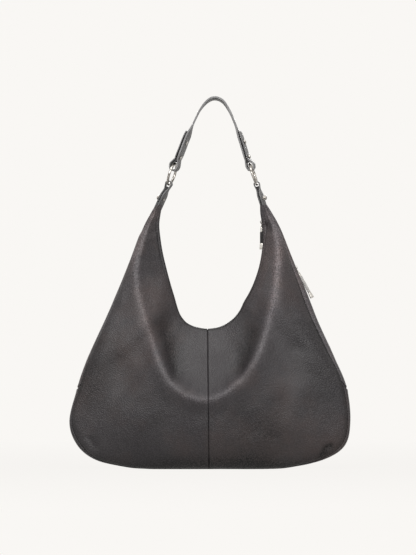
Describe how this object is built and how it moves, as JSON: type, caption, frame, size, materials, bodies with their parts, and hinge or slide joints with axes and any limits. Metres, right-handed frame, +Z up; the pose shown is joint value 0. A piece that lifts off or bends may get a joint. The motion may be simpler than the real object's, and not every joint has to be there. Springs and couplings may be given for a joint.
{
  "type": "hobo bag",
  "caption": "Slouchy leather hobo bag with a deep curved mouth, closed by a zip, and a short shoulder strap on round rings.",
  "frame": {"origin": "middle of the underside of the base, on the surface that the bag stands on", "axes": "+X to the right of the front, -Y to the front, +Z up"},
  "size_m": [0.44, 0.1402, 0.583],
  "materials": {
    "grained_leather": "pebbled satin, charcoal",
    "lining_cloth": "plain weave, near black",
    "zip_tape": "woven tape, near black",
    "zip_coil": "moulded coil, near black",
    "nickel": "polished nickel plate"
  },
  "bodies": {
    "bag": {"front_panel_left": "grained_leather", "front_panel_right": "grained_leather", "back_panel_left": "grained_leather", "back_panel_right": "grained_leather", "base_gusset": "grained_leather", "side_gusset_left": "grained_leather", "side_gusset_right": "grained_leather", "tab_left": "grained_leather", "tab_right": "grained_leather", "stud_left": "nickel", "stud_right": "nickel", "mouth_zip_stops": "nickel", "side_zip_stops": "nickel", "lining_front": "lining_cloth", "lining_back": "lining_cloth", "lining_gusset": "lining_cloth", "mouth_zip_tape_front": "zip_tape", "mouth_zip_tape_back": "zip_tape", "side_zip_tape_front": "zip_tape", "side_zip_tape_back": "zip_tape", "mouth_zip_coil_front": "zip_coil", "mouth_zip_coil_back": "zip_coil", "side_zip_coil_front": "zip_coil", "side_zip_coil_back": "zip_coil"},
    "strap": {"strap_outer": "grained_leather", "strap_lining": "grained_leather", "strap_rivets_left": "nickel", "strap_rivets_right": "nickel"},
    "left_ring": {"ring_left": "nickel"},
    "right_ring": {"ring_right": "nickel"},
    "mouth_slider": {"mouth_zip_slider": "nickel"},
    "mouth_pull": {"mouth_zip_link": "nickel", "mouth_zip_clip": "nickel", "mouth_zip_pull": "grained_leather", "mouth_zip_tip": "nickel"},
    "side_slider": {"side_zip_slider": "nickel"},
    "side_pull": {"side_zip_link": "nickel", "side_zip_clip": "nickel", "side_zip_pull": "grained_leather", "side_zip_tip": "nickel"}
  },
  "joints": [
    {"name": "strap_drop", "type": "hinge", "parent": "bag", "child": "strap", "pos_m": [0, 0, 0.462], "axis": [1, 0, 0], "range_deg": [-35, 35]},
    {"name": "left_ring_turn", "type": "hinge", "parent": "bag", "child": "left_ring", "pos_m": [-0.0588, 0, 0.462], "axis": [1, 0, 0], "range_deg": [-17.5, 17.5]},
    {"name": "right_ring_turn", "type": "hinge", "parent": "bag", "child": "right_ring", "pos_m": [0.0688, 0, 0.462], "axis": [1, 0, 0], "range_deg": [-17.5, 17.5]},
    {"name": "mouth_zip_slide", "type": "hinge", "parent": "bag", "child": "mouth_slider", "pos_m": [-0.1083, 0, 0.3638], "axis": [0, 1, 0], "range_deg": [0, 37]},
    {"name": "mouth_pull_swing", "type": "hinge", "parent": "mouth_slider", "child": "mouth_pull", "pos_m": [0.08147, 0, 0.3871], "axis": [0, 1, 0], "range_deg": [0, 80]},
    {"name": "side_zip_slide", "type": "slide", "parent": "bag", "child": "side_slider", "axis": [-0.3819, 0, 0.9242], "range_m": [-0.07, 0.034]},
    {"name": "side_pull_swing", "type": "hinge", "parent": "side_slider", "child": "side_pull", "pos_m": [0.13561, 0, 0.31553], "axis": [0, -1, 0], "range_deg": [0, 110]}
  ],
  "couplings": [
    {"joint": "left_ring_turn", "follows": "strap_drop", "ratio": 0.5},
    {"joint": "right_ring_turn", "follows": "strap_drop", "ratio": 0.5}
  ]
}
